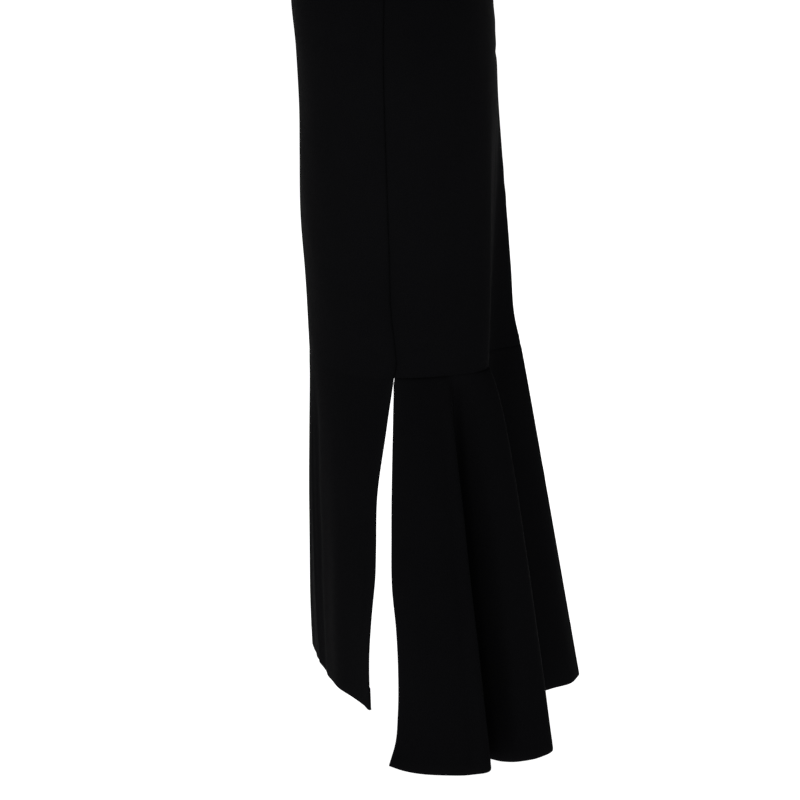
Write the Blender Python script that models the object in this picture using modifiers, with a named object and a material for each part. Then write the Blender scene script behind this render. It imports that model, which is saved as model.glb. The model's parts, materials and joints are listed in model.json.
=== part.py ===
"""Mermaid fishtail skirt with a circular flounce under the back and a slit at each side.

Metres, +Z up. The origin is the centre of the waist opening, level with the top of the waistband.
The front faces -Y and the wearer's left side is +X.
"""

import math
from collections import namedtuple

import bmesh
import bpy
import numpy as np

CLOTH = 0.0016  # thickness of the cloth
BAND_CLOTH = 0.0026  # the waistband is folded double
SEAM_GAP = 0.0003  # between two pieces that are sewn together

MIDDLE = 1e-6  # a point this near the middle plane lies on it
OUTLINE_POINTS = 161  # on a quarter of the outline, before a panel's columns are read from it
HEM_POINTS = 801
CUTTER_REACH = 0.1

BAND_HEIGHT = 0.030
KNEE_Z = -0.538  # the flounce seam, and the top of both side slits
FRONT_HEM_Z = -0.900
BACK_HEM_Z = -0.937

# How finely each piece is divided
FRONT_COLUMNS = 36
FRONT_UPPER_ROWS = 12
FRONT_LOWER_ROWS = 8
BACK_COLUMNS = 24
BACK_ROWS = 13
FLOUNCE_COLUMNS = 48
FLOUNCE_ROWS = 10
BAND_COLUMNS = 48
BAND_ROWS = 2

# The outline at each level, seen from above. Front and back are depths from the middle, side is
# the y of the side seam, and a power of 2 is an ellipse while a larger one is squarer. A soft
# ridge stands out of the back, its place given as a share of the way from the side seam to the
# centre back, and at the centre the cloth runs out into the tail.
Section = namedtuple(
    "Section", "name z half_width front back side front_power back_power ridge place tail"
)
SECTIONS = [
    Section("band top", 0.000, 0.1175, 0.0900, 0.0780, -0.0060, 2.15, 2.10, 0.0000, 0.62, 0.0000),
    Section("band foot", -0.030, 0.1225, 0.0945, 0.0805, -0.0070, 2.15, 2.10, 0.0000, 0.62, 0.0000),
    Section("high hip", -0.085, 0.1430, 0.1078, 0.0890, -0.0095, 2.20, 2.20, 0.0000, 0.62, 0.0000),
    Section("belly", -0.145, 0.1625, 0.1153, 0.0983, -0.0115, 2.25, 2.30, 0.0000, 0.62, 0.0000),
    Section("hip", -0.205, 0.1715, 0.1102, 0.1032, -0.0120, 2.30, 2.35, 0.0005, 0.62, 0.0000),
    Section("seat", -0.262, 0.1705, 0.1079, 0.1055, -0.0108, 2.30, 2.40, 0.0015, 0.62, 0.0008),
    Section("thigh", -0.320, 0.1655, 0.1087, 0.1052, -0.0092, 2.25, 2.45, 0.0035, 0.61, 0.0061),
    Section("mid thigh", -0.385, 0.1570, 0.1084, 0.1040, -0.0075, 2.20, 2.50, 0.0065, 0.58, 0.0134),
    Section("low thigh", -0.450, 0.1490, 0.1050, 0.1025, -0.0055, 2.15, 2.55, 0.0095, 0.56, 0.0207),
    Section("above knee", -0.505, 0.1440, 0.1025, 0.1008, -0.0032, 2.10, 2.60, 0.0125, 0.53, 0.0273),
    Section("knee", KNEE_Z, 0.1415, 0.1008, 0.0998, -0.0030, 2.10, 2.60, 0.0140, 0.515, 0.0357),
]

RIDGE_REACH = 0.020
TAIL_REACH = 0.020
RIGHT_RIDGE_SHIFT = 0.02  # the right ridge stands nearer the centre back
RIGHT_RIDGE_SHARE = 0.9  # and is a little lower than the left one

# Half of the front hem from the centre to the corner at the slit.
HemPoint = namedtuple("HemPoint", "name x y")
FRONT_HEM = [
    HemPoint("centre", 0.000, -0.1018),
    HemPoint("flat", 0.028, -0.0990),
    HemPoint("ridge", 0.052, -0.0925),
    HemPoint("side face", 0.096, -0.0770),
    HemPoint("turn", 0.128, -0.0655),
    HemPoint("lap", 0.152, -0.0490),
    HemPoint("corner", 0.1813, -0.0300),
]
FRONT_BELLY = 0.0022  # how far the front panel swells between knee and hem

# The flounce's hem from the slit to the centre back, a row for each edge of a fold. Share is the
# place along the seam where the fold starts, belly is how far it swells halfway down, and drop is
# how far its hem hangs lower than the rest.
Fold = namedtuple("Fold", "name share x y belly drop")
FLOUNCE_HEM = [
    Fold("slit edge", 0.000, 0.2382, -0.0060, 0.000, 0.0026),
    Fold("first cone, front", 0.050, 0.2560, 0.0180, 0.002, 0.0018),
    Fold("first cone, crest", 0.125, 0.2635, 0.0500, 0.004, 0.0010),
    Fold("first cone, back", 0.200, 0.2590, 0.0840, 0.003, 0.0000),
    Fold("first cone, lip", 0.254, 0.2475, 0.1035, 0.001, -0.0018),
    Fold("first valley", 0.285, 0.2025, 0.0950, -0.016, 0.0100),
    Fold("second cone, front", 0.330, 0.2120, 0.1145, -0.010, 0.0085),
    Fold("second cone, crest", 0.405, 0.2255, 0.1367, 0.001, 0.0010),
    Fold("second cone, back", 0.462, 0.2188, 0.1560, 0.009, -0.0005),
    Fold("second cone, lip", 0.512, 0.1985, 0.1715, 0.013, 0.0008),
    Fold("second valley, side", 0.590, 0.1500, 0.1500, 0.000, 0.0050),
    Fold("second valley", 0.690, 0.1050, 0.1320, -0.006, 0.0070),
    Fold("tail, foot", 0.800, 0.0660, 0.1420, -0.003, 0.0040),
    Fold("tail, flank", 0.900, 0.0450, 0.1750, 0.001, 0.0010),
    Fold("tail, shoulder", 0.955, 0.0255, 0.2010, 0.001, 0.0016),
    Fold("centre back", 1.000, 0.0000, 0.2114, 0.0006, 0.0024),
]
BELLY_PLACE = 0.5  # less than 1 puts the fullest place above the middle
RIGHT_DRIFT = 0.004  # how far the right folds stray from a mirror image of the left ones
DRIFT_WAVES = (9, 7)  # how fast they stray in x and in y along the hem, in radians
HEM_SPREAD = 0.75  # how far the columns follow the hem's length and not the seam's

# How the free edges of the slit sway in y on their way down, as a share of their length.
Sway = namedtuple("Sway", "down y")
FRONT_EDGE = [
    Sway(0.00, 0.0000),
    Sway(0.15, -0.0008),
    Sway(0.35, -0.0028),
    Sway(0.50, 0.0006),
    Sway(0.58, 0.0018),
    Sway(0.71, 0.0000),
    Sway(0.83, -0.0013),
    Sway(1.00, 0.0000),
]
FLOUNCE_EDGE = [
    Sway(0.00, 0.0000),
    Sway(0.40, -0.0006),
    Sway(0.54, 0.0008),
    Sway(0.65, 0.0058),
    Sway(0.75, 0.0084),
    Sway(0.87, 0.0088),
    Sway(0.94, 0.0068),
    Sway(1.00, 0.0000),
]
RIGHT_FRONT_EDGE = [
    Sway(0.00, 0.0000),
    Sway(0.15, -0.0040),
    Sway(0.35, -0.0100),
    Sway(0.60, -0.0125),
    Sway(0.80, -0.0130),
    Sway(1.00, -0.0125),
]
EDGE_REACH = 0.07  # how far in from the edge the sway is felt, as a share of the panel's width
FLOUNCE_LAST_ROW = 0.96  # one more row of points, close to the hem

# The zip's slider and pull tab, at the top of the centre-back seam.
PIVOT_Z = -0.0085
PIVOT_STANDOFF = 0.0040  # from the waistband to the tab's pivot
SLIDER_WIDTH = 0.0060
SLIDER_HEIGHT = 0.0095
SLIDER_DEPTH = 0.0020
LUG_WIDTH = 0.0012
LUG_RADIUS = 0.0021
NECK_HEIGHT = 0.0036
EYE_RADIUS = 0.0012
TAB_THICKNESS = 0.0012
TAB_LENGTH = 0.0220
TAB_TOP_WIDTH = 0.0052
TAB_FOOT_RADIUS = 0.0034
TAB_BAR = 0.0012
TAB_WINDOW_WIDTH = 0.0028
TAB_WINDOW_END = 0.0036

CLOTH_BLACK = (0.012, 0.012, 0.014)
ZIP_BLACK = (0.020, 0.020, 0.022)


def clear_scene():
    for item in list(bpy.data.objects):
        bpy.data.objects.remove(item)


def smooth_through(places, values, place):
    """A curve through the values, with slopes from the neighbours so that it doesn't overshoot."""
    places = np.asarray(places, float)
    values = np.asarray(values, float)
    steps = np.diff(places)
    slopes = np.diff(values) / steps
    tangents = np.empty(len(values))
    tangents[0] = slopes[0]
    tangents[-1] = slopes[-1]
    for i in range(1, len(values) - 1):
        before, after = steps[i - 1], steps[i]
        tangents[i] = (slopes[i - 1] * after + slopes[i] * before) / (before + after)
    place = np.clip(place, places[0], places[-1])
    i = np.clip(np.searchsorted(places, place, side="right") - 1, 0, len(steps) - 1)
    step = steps[i]
    t = (place - places[i]) / step
    return (
        (2 * t**3 - 3 * t**2 + 1) * values[i]
        + (t**3 - 2 * t**2 + t) * step * tangents[i]
        + (3 * t**2 - 2 * t**3) * values[i + 1]
        + (t**3 - t**2) * step * tangents[i + 1]
    )


def section_at(z):
    """The numbers of the outline at a height, as a Section."""
    rows = SECTIONS[::-1]
    heights = [row.z for row in rows]
    columns = [
        float(smooth_through(heights, [getattr(row, name) for row in rows], z))
        for name in Section._fields[2:]
    ]
    return Section("between", z, *columns)


def arc_shares(line):
    """How far along a polyline each of its points lies, from 0 to 1."""
    lengths = np.concatenate([[0], np.cumsum(np.linalg.norm(np.diff(line, axis=0), axis=1))])
    return lengths / lengths[-1]


def along(line, shares):
    """The points at these shares of a polyline's length."""
    own = arc_shares(line)
    return np.stack([np.interp(shares, own, line[:, k]) for k in range(line.shape[1])], axis=1)


def outward(line):
    """Unit normals of a plan polyline that runs from front to back on the left side. Where the
    line ends on the middle plane, its mirror image goes on smoothly."""
    tangent = np.gradient(line, axis=0)
    normal = np.stack([tangent[:, 1], -tangent[:, 0]], axis=1)
    normal[np.abs(line[:, 0]) < MIDDLE, 0] = 0
    return normal / np.linalg.norm(normal, axis=1, keepdims=True)


def quarter(half_width, near, far, power):
    """A quarter of a squared ellipse from the middle line to the side seam."""
    angle = np.linspace(0, math.pi / 2, OUTLINE_POINTS)
    x = half_width * np.sin(angle) ** (2 / power)
    y = far + (near - far) * np.cos(angle) ** (2 / power)
    return np.stack([x, y], axis=1)


def edge_sway(table, down, shares_from_edge):
    """How far a slit's free edge, and the cloth next to it, sways in y."""
    sway = smooth_through([point.down for point in table], [point.y for point in table], down)
    return sway * np.exp(-((shares_from_edge / EDGE_REACH) ** 2))


def front_line(z, right=False):
    """The front panel's left half at a height, from the centre to the side."""
    row = section_at(max(z, KNEE_Z))
    line = quarter(row.half_width, -row.front, row.side, row.front_power)
    if z >= KNEE_Z:
        return line
    down = (KNEE_Z - z) / (KNEE_Z - FRONT_HEM_Z)
    shares = np.linspace(0, 1, OUTLINE_POINTS)
    table = np.array([[point.x, point.y] for point in FRONT_HEM])
    own = arc_shares(table)
    hem = np.stack([smooth_through(own, table[:, k], shares) for k in range(2)], axis=1)
    eased = down * (2 - down)
    line = along(line, shares) * (1 - eased) + hem * eased
    swell = FRONT_BELLY * math.sin(math.pi * down**1.5) * (1 - shares) ** 0.5
    line = line + outward(line) * swell[:, None]
    line[:, 1] += edge_sway(RIGHT_FRONT_EDGE if right else FRONT_EDGE, down, 1 - shares)
    return line


def back_line(z, right=False):
    """The upper back's outline at a height, from the side seam to the centre back."""
    row = section_at(z)
    line = quarter(row.half_width, row.back, row.side, row.back_power)[::-1]
    shares = arc_shares(line)
    length = np.linalg.norm(np.diff(line, axis=0), axis=1).sum()
    place = row.place + (RIGHT_RIDGE_SHIFT if right else 0)
    ridge = row.ridge * (RIGHT_RIDGE_SHARE if right else 1)
    from_ridge = np.abs(shares - place) * length
    from_centre = (1 - shares) * length
    lift = ridge * np.exp(-((from_ridge / RIDGE_REACH) ** 1.5))
    lift += row.tail * np.exp(-((from_centre / TAIL_REACH) ** 2))
    return line + outward(line) * lift[:, None]


def flounce_hem(shares, right=False):
    """The flounce's hem in plan at shares of its seam, the swell halfway down, and the drop."""
    own = [fold.share for fold in FLOUNCE_HEM]
    x = smooth_through(own, [fold.x for fold in FLOUNCE_HEM], shares)
    y = smooth_through(own, [fold.y for fold in FLOUNCE_HEM], shares)
    belly = smooth_through(own, [fold.belly for fold in FLOUNCE_HEM], shares)
    drop = smooth_through(own, [fold.drop for fold in FLOUNCE_HEM], shares)
    if right:
        fade = np.sin(math.pi * shares)
        x = x + RIGHT_DRIFT * fade * np.sin(DRIFT_WAVES[0] * shares + 1)
        y = y + RIGHT_DRIFT * fade * np.cos(DRIFT_WAVES[1] * shares)
    return np.stack([x, y], axis=1), belly, drop


def flounce_points(right=False):
    """The flounce's outer surface as rows of points, from the seam down to the hem."""
    fine = np.linspace(0, 1, HEM_POINTS)
    hem, _, _ = flounce_hem(fine, right)
    spread = HEM_SPREAD * arc_shares(hem) + (1 - HEM_SPREAD) * fine
    shares = np.interp(np.linspace(0, 1, FLOUNCE_COLUMNS + 1), spread, fine)
    seam = along(back_line(KNEE_Z, right), shares)
    hem, belly, drop = flounce_hem(shares, right)
    away = seam / np.linalg.norm(seam, axis=1, keepdims=True)
    top = KNEE_Z - SEAM_GAP
    rows = []
    for down in np.append(np.linspace(0, 1, FLOUNCE_ROWS + 1)[:-1], [FLOUNCE_LAST_ROW, 1]):
        line = seam * (1 - down) + hem * down
        line = line + away * (belly * math.sin(math.pi * down**BELLY_PLACE))[:, None]
        line[:, 1] += edge_sway(FLOUNCE_EDGE, down, shares)
        rows.append(with_height(line, top + (BACK_HEM_Z - drop - top) * down))
    return np.array(rows)


def with_height(line, z):
    """The plan line's points at a height, or at one for each of them."""
    return np.column_stack([line, np.broadcast_to(z, len(line))])


def side_seam_trimmed(rows):
    """Moves the first column in from the side seam by half a seam's gap."""
    rows = rows.copy()
    inward = rows[:, 1] - rows[:, 0]
    inward /= np.linalg.norm(inward, axis=1, keepdims=True)
    rows[:, 0] += inward * SEAM_GAP / 2
    return rows


def mirrored(rows):
    """The same surface on the right side. The columns are reversed so that it still faces out."""
    return rows[:, ::-1] * np.array([-1, 1, 1])


def past_centre(rows):
    """Adds a column past the centre back, for the cutter there to cut off."""
    return np.concatenate([rows, rows[:, -2:-1] * np.array([-1, 1, 1])], axis=1)


def front_points():
    """The front panel from slit to slit, right side first."""
    upper = np.linspace(-BAND_HEIGHT - SEAM_GAP, KNEE_Z, FRONT_UPPER_ROWS + 1)
    lower = np.linspace(KNEE_Z, FRONT_HEM_Z, FRONT_LOWER_ROWS + 1)[1:]
    heights = np.concatenate([upper, lower])
    shares = np.linspace(1, 0, FRONT_COLUMNS // 2 + 1)
    halves = []
    for right in (True, False):
        half = np.array([with_height(along(front_line(z, right), shares), z) for z in heights])
        halves.append(side_seam_trimmed(half)[:, ::-1])
    return np.concatenate([mirrored(halves[0]), halves[1][:, 1:]], axis=1)


def back_points(right=False):
    """An upper back panel from its side seam to the centre back."""
    shares = np.linspace(0, 1, BACK_COLUMNS + 1)
    heights = np.linspace(-BAND_HEIGHT - SEAM_GAP, KNEE_Z, BACK_ROWS + 1)
    return np.array([with_height(along(back_line(z, right), shares), z) for z in heights])


def make_material(name, colour, roughness, metallic):
    material = bpy.data.materials.new(name)
    material.use_nodes = True
    shader = material.node_tree.nodes["Principled BSDF"]
    shader.inputs["Base Color"].default_value = (*colour, 1)
    shader.inputs["Roughness"].default_value = roughness
    shader.inputs["Metallic"].default_value = metallic
    return material


def mesh_from(shape, name):
    mesh = bpy.data.meshes.new(name)
    shape.to_mesh(mesh)
    shape.free()
    return mesh


def add_object(name, mesh, collection):
    item = bpy.data.objects.new(name, mesh)
    collection.objects.link(item)
    return item


def make_panel(name, rows, thickness, collection, material, ring=False):
    """A cloth panel: the outer surface as a grid of quads, with Solidify for the wall."""
    count_down, count_across = rows.shape[:2]
    sheet = bmesh.new()
    grid = [[sheet.verts.new(point) for point in row] for row in rows]
    for i in range(count_down - 1):
        for j in range(count_across - (not ring)):
            k = (j + 1) % count_across
            sheet.faces.new((grid[i][j], grid[i + 1][j], grid[i + 1][k], grid[i][k]))
    mesh = mesh_from(sheet, name)
    mesh.shade_smooth()
    panel = add_object(name, mesh, collection)
    panel.data.materials.append(material)
    wall = panel.modifiers.new("wall", "SOLIDIFY")
    wall.thickness = thickness
    wall.offset = -1
    wall.use_even_offset = True
    return panel


def band_points():
    """The waistband all the way round, from the centre back and back to it."""
    shares = np.linspace(0, 1, BAND_COLUMNS // 2 + 1)
    rows = []
    for z in np.linspace(0, -BAND_HEIGHT, BAND_ROWS + 1):
        left = along(np.concatenate([front_line(z), back_line(z)[1:]]), shares)
        right = left[:0:-1] * np.array([-1, 1])
        rows.append(with_height(np.concatenate([right, left[:-1]]), z))
    return np.array(rows)


def back_surface(z):
    return back_line(z)[-1, 1]


def add_cylinder(name, radius, length, centre, collection):
    """A cylinder along X."""
    turned = bmesh.new()
    bmesh.ops.create_cone(
        turned, cap_ends=True, segments=24, radius1=radius, radius2=radius, depth=length
    )
    item = add_object(name, mesh_from(turned, name), collection)
    item.rotation_euler = (0, math.pi / 2, 0)
    item.location = centre
    return item


def add_box(name, size, centre, collection):
    block = bmesh.new()
    bmesh.ops.create_cube(block, size=1)
    bmesh.ops.scale(block, vec=size, verts=block.verts)
    item = add_object(name, mesh_from(block, name), collection)
    item.location = centre
    return item


def join_or_cut(target, other, operation):
    """A Boolean that joins the other object to the target, or cuts it from the target."""
    tool = target.modifiers.new(other.name, "BOOLEAN")
    tool.operation = operation
    tool.object = other
    other.hide_render = True
    other.display_type = "WIRE"


def make_slider(parts, tools, material):
    """The slider's plate lies inside the band, and its lug comes out between the band's ends."""
    pivot = (0, back_surface(PIVOT_Z) + PIVOT_STANDOFF, PIVOT_Z)
    plate_y = back_surface(0.0) - BAND_CLOTH - SEAM_GAP - SLIDER_DEPTH / 2
    plate_size = (SLIDER_WIDTH, SLIDER_DEPTH, SLIDER_HEIGHT)
    plate = add_box("zip_slider", plate_size, (0, plate_y, PIVOT_Z), parts)
    plate.data.materials.append(material)
    neck_length = pivot[1] - plate_y
    neck_size = (LUG_WIDTH, neck_length, NECK_HEIGHT)
    neck = add_box("slider_neck", neck_size, (0, plate_y + neck_length / 2, PIVOT_Z), tools)
    lug = add_cylinder("slider_lug", LUG_RADIUS, LUG_WIDTH, pivot, tools)
    eye = add_cylinder("slider_eye", EYE_RADIUS, 3 * LUG_WIDTH, pivot, tools)
    join_or_cut(plate, neck, "UNION")
    join_or_cut(plate, lug, "UNION")
    join_or_cut(plate, eye, "DIFFERENCE")
    return pivot


def tab_outline():
    """The pull tab's outline, a drop that hangs from its bar, with the bar's middle at the origin."""
    half = TAB_TOP_WIDTH / 2
    foot = TAB_FOOT_RADIUS - TAB_LENGTH
    points = [(half, TAB_BAR / 2), (half, -TAB_WINDOW_END)]
    for angle in np.radians(np.linspace(10, -190, 13)):
        points.append((TAB_FOOT_RADIUS * math.cos(angle), foot + TAB_FOOT_RADIUS * math.sin(angle)))
    return points + [(-half, -TAB_WINDOW_END), (-half, TAB_BAR / 2)]


def tab_window():
    """The window below the bar, which the slider's lug passes through."""
    half = TAB_WINDOW_WIDTH / 2
    top = -TAB_BAR / 2
    return [(half, top), (half, -TAB_WINDOW_END), (-half, -TAB_WINDOW_END), (-half, top)]


def make_tab(pivot, parts, material):
    """The tab's own origin is on the pivot, and its bar passes through the slider's eye."""
    flat = bpy.data.curves.new("zip_tab", "CURVE")
    flat.dimensions = "2D"
    flat.fill_mode = "BOTH"
    flat.extrude = TAB_THICKNESS / 2
    for outline in (tab_outline(), tab_window()):
        spline = flat.splines.new("POLY")
        spline.points.add(len(outline) - 1)
        for point, (x, z) in zip(spline.points, outline):
            point.co = (x, z, 0, 1)
        spline.use_cyclic_u = True
    tab = bpy.data.objects.new("zip_tab", flat)
    tab.data.materials.append(material)
    tab.rotation_euler = (math.pi / 2, 0, 0)
    tab.location = pivot
    parts.objects.link(tab)


def cut_at_centre(panel, side, tools):
    """Takes off what a panel has past its own side of the centre back."""
    size = (CUTTER_REACH, 2 * CUTTER_REACH, 2 * abs(BACK_HEM_Z))
    x = -side * (CUTTER_REACH - SEAM_GAP) / 2
    centre = (x, 1.5 * CUTTER_REACH, BACK_HEM_Z / 2)
    cutter = add_box(f"{panel.name}_cutter", size, centre, tools)
    join_or_cut(panel, cutter, "DIFFERENCE")


def cut_band(band, tools):
    """Opens the band at the centre back, a hair wide, and wider round the slider's neck."""
    y = back_surface(0.0)
    slit = add_box("band_slit", (SEAM_GAP, CUTTER_REACH, CUTTER_REACH), (0, y, 0), tools)
    notch_size = (LUG_WIDTH + 2 * SEAM_GAP, CUTTER_REACH, NECK_HEIGHT + 2 * SEAM_GAP)
    notch = add_box("band_notch", notch_size, (0, y, PIVOT_Z), tools)
    join_or_cut(band, slit, "DIFFERENCE")
    join_or_cut(band, notch, "DIFFERENCE")


def main():
    clear_scene()
    parts = bpy.data.collections.new("mermaid_skirt")
    tools = bpy.data.collections.new("cutters")
    bpy.context.scene.collection.children.link(parts)
    bpy.context.scene.collection.children.link(tools)
    black = make_material("cloth", CLOTH_BLACK, 0.85, 0.0)
    metal = make_material("zip", ZIP_BLACK, 0.45, 0.0)

    make_panel("front", front_points(), CLOTH, parts, black)
    for side, name in ((1, "left"), (-1, "right")):
        back = past_centre(side_seam_trimmed(back_points(name == "right")))
        flounce = past_centre(flounce_points(name == "right"))
        for piece, rows in (("back", back), ("flounce", flounce)):
            rows = rows if side > 0 else mirrored(rows)
            panel = make_panel(f"{piece}_{name}", rows, CLOTH, parts, black)
            cut_at_centre(panel, side, tools)
    band = make_panel("waistband", band_points(), BAND_CLOTH, parts, black, ring=True)
    cut_band(band, tools)
    pivot = make_slider(parts, tools, metal)
    make_tab(pivot, parts, metal)


main()
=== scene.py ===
import json
import math

import bpy
import numpy as np
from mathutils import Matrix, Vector

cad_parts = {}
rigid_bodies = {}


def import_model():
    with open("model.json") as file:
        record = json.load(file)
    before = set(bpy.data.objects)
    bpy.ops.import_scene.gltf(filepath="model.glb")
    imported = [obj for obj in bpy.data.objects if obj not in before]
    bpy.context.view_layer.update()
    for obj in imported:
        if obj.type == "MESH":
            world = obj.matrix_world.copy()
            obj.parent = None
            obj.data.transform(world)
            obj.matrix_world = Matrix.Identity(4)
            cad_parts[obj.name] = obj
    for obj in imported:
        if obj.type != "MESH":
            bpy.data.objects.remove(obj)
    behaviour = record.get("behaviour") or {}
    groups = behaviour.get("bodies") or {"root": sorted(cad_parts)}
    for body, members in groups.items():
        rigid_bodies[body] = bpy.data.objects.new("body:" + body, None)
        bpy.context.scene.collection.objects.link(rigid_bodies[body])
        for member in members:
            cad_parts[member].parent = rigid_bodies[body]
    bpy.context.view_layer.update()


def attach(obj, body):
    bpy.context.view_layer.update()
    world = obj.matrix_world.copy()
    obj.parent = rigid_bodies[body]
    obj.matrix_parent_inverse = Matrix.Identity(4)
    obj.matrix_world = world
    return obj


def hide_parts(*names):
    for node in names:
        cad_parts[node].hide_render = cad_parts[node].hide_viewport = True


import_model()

# The cut of the skirt, in metres, with the waist at z = 0, the front at -y and the left side at +x.
cut = {
    "bandHeight": 0.030,
    "kneeZ": -0.538,
    "frontHemZ": -0.900,
    "backHemZ": -0.937,
    "ridgeRise": 0.032,  # the back ridges rise over this much cloth on their side of the skirt
    "ridgeFall": 0.018,  # and fall away over this much behind
    "tailReach": 0.0175,
    "rightRidgeShift": 0.02,
    "rightRidgeShare": 0.9,
    "frontBelly": 0.0022,
    "bellyPlace": 0.5,
    "valleyPlace": 0.72,  # the valleys deepen a little further down than the crests swell
    "rightDrift": 0.004,
    "edgeReach": 0.07,
    "seamReach": 0.028,  # the cloth this near to a side seam moves back with it
    "seamShare": 0.22,  # half the knee seam, from a slit to the centre back
    "fineness": 641,
}

# Each level from the waist to the knee: halfWidth, front and back are depths, side is the y of the
# side seam, the powers square off the ellipse, and ridge, place and tail shape the back.
levelColumns = (
    "z", "halfWidth", "front", "back", "side", "frontPower", "backPower", "ridge", "place", "tail"
)
levels = [
    (0.000, 0.1175, 0.0900, 0.0780, -0.0060, 2.15, 2.10, 0.0000, 0.62, 0.0000),
    (-0.030, 0.1225, 0.0945, 0.0805, -0.0070, 2.15, 2.10, 0.0000, 0.62, 0.0000),
    (-0.085, 0.1430, 0.1078, 0.0890, -0.0095, 2.20, 2.20, 0.0000, 0.62, 0.0000),
    (-0.145, 0.1625, 0.1153, 0.0983, -0.0115, 2.25, 2.30, 0.0000, 0.62, 0.0000),
    (-0.205, 0.1715, 0.1102, 0.1032, -0.0120, 2.30, 2.35, 0.0005, 0.62, 0.0000),
    (-0.262, 0.1705, 0.1079, 0.1055, -0.0108, 2.30, 2.40, 0.0015, 0.62, 0.0008),
    (-0.320, 0.1655, 0.1087, 0.1052, -0.0092, 2.25, 2.45, 0.0035, 0.61, 0.0061),
    (-0.385, 0.1570, 0.1084, 0.1040, -0.0075, 2.20, 2.50, 0.0065, 0.58, 0.0134),
    (-0.450, 0.1490, 0.1050, 0.1025, -0.0055, 2.15, 2.55, 0.0095, 0.56, 0.0207),
    (-0.505, 0.1440, 0.1025, 0.1008, -0.0032, 2.10, 2.60, 0.0125, 0.53, 0.0273),
    (-0.538, 0.1415, 0.1008, 0.0998, -0.0030, 2.10, 2.60, 0.0140, 0.515, 0.0357),
]

# Half the front hem in plan, from the centre to the corner at the slit: x, y.
frontHem = [
    (0.000, -0.1018),
    (0.028, -0.0990),
    (0.052, -0.0925),
    (0.096, -0.0770),
    (0.128, -0.0655),
    (0.152, -0.0490),
    (0.1813, -0.0300),
]

# Half the flounce's hem from the slit to the centre back: share of the seam, x, y, belly, and how
# far the hem hangs lower, which is most in the valleys.
flounceFolds = [
    (0.000, 0.2382, -0.0060, 0.000, 0.0026),
    (0.050, 0.2560, 0.0180, 0.002, 0.0018),
    (0.125, 0.2635, 0.0500, 0.004, 0.0010),
    (0.200, 0.2590, 0.0840, 0.003, 0.0000),
    (0.254, 0.2475, 0.1035, 0.001, -0.0018),
    (0.285, 0.2025, 0.0950, -0.016, 0.0100),
    (0.330, 0.2120, 0.1145, -0.010, 0.0085),
    (0.405, 0.2255, 0.1367, 0.001, 0.0010),
    (0.462, 0.2188, 0.1560, 0.009, -0.0005),
    (0.512, 0.1985, 0.1715, 0.013, 0.0008),
    (0.590, 0.1500, 0.1500, 0.000, 0.0050),
    (0.690, 0.1050, 0.1320, -0.006, 0.0070),
    (0.800, 0.0660, 0.1420, -0.003, 0.0040),
    (0.900, 0.0450, 0.1750, 0.001, 0.0010),
    (0.955, 0.0255, 0.2010, 0.001, 0.0016),
    (1.000, 0.0000, 0.2114, 0.0006, 0.0024),
]

# How the slit's free edges sway in y on the way down: share of the length, y.
frontEdge = [
    (0.00, 0.0000), (0.15, -0.0008), (0.35, -0.0028), (0.50, 0.0006),
    (0.58, 0.0018), (0.71, 0.0000), (0.83, -0.0013), (1.00, 0.0000),
]
rightFrontEdge = [
    (0.00, 0.0000), (0.15, -0.0040), (0.35, -0.0100),
    (0.60, -0.0125), (0.80, -0.0130), (1.00, -0.0125),
]
flounceEdge = [
    (0.00, 0.0000), (0.40, -0.0006), (0.54, 0.0008), (0.65, 0.0058),
    (0.75, 0.0084), (0.87, 0.0088), (0.94, 0.0068), (1.00, 0.0000),
]

# The side seams pull back a little above the slits: z, y.
seamPull = [
    (-0.600, 0.0000), (-0.560, 0.0000), (-0.538, 0.0004), (-0.524, 0.0030),
    (-0.508, 0.0022), (-0.480, 0.0000), (-0.400, 0.0000),
]


def smoothThrough(table, place, column=1):
    # a curve through a table's column, with slopes from the neighbours so that it can't overshoot
    places = np.array([row[0] for row in table], float)
    values = np.array([row[column] for row in table], float)
    steps = np.diff(places)
    slopes = np.diff(values) / steps
    tangents = np.empty(len(values))
    tangents[0], tangents[-1] = slopes[0], slopes[-1]
    tangents[1:-1] = (slopes[:-1] * steps[1:] + slopes[1:] * steps[:-1]) / (steps[:-1] + steps[1:])
    place = np.clip(place, places[0], places[-1])
    i = np.clip(np.searchsorted(places, place, side="right") - 1, 0, len(steps) - 1)
    step = steps[i]
    t = (place - places[i]) / step
    return (
        (2 * t**3 - 3 * t**2 + 1) * values[i]
        + (t**3 - 2 * t**2 + t) * step * tangents[i]
        + (3 * t**2 - 2 * t**3) * values[i + 1]
        + (t**3 - t**2) * step * tangents[i + 1]
    )


def levelAt(z):
    rising = levels[::-1]
    return {
        name: float(smoothThrough(rising, z, column))
        for column, name in enumerate(levelColumns) if column
    }


def arcShares(line):
    lengths = np.concatenate([[0], np.cumsum(np.linalg.norm(np.diff(line, axis=0), axis=1))])
    return lengths / lengths[-1]


def along(line, shares, own=None):
    own = arcShares(line) if own is None else own
    return np.stack([np.interp(shares, own, line[:, k]) for k in range(line.shape[1])], axis=1)


def outward(line):
    tangent = np.gradient(line, axis=0)
    normal = np.stack([tangent[:, 1], -tangent[:, 0]], axis=1)
    normal[np.abs(line[:, 0]) < 1e-6, 0] = 0
    return normal / np.linalg.norm(normal, axis=1, keepdims=True)


def quarter(halfWidth, near, far, power):
    angle = np.linspace(0, math.pi / 2, cut["fineness"])
    x = halfWidth * np.sin(angle) ** (2 / power)
    y = far + (near - far) * np.cos(angle) ** (2 / power)
    return np.stack([x, y], axis=1)


def edgeSway(table, down, sharesFromEdge):
    return smoothThrough(table, down) * np.exp(-((sharesFromEdge / cut["edgeReach"]) ** 2))


def seamShift(z, fromSeam):
    return smoothThrough(seamPull, z) * np.exp(-((fromSeam / cut["seamReach"]) ** 2))


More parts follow.
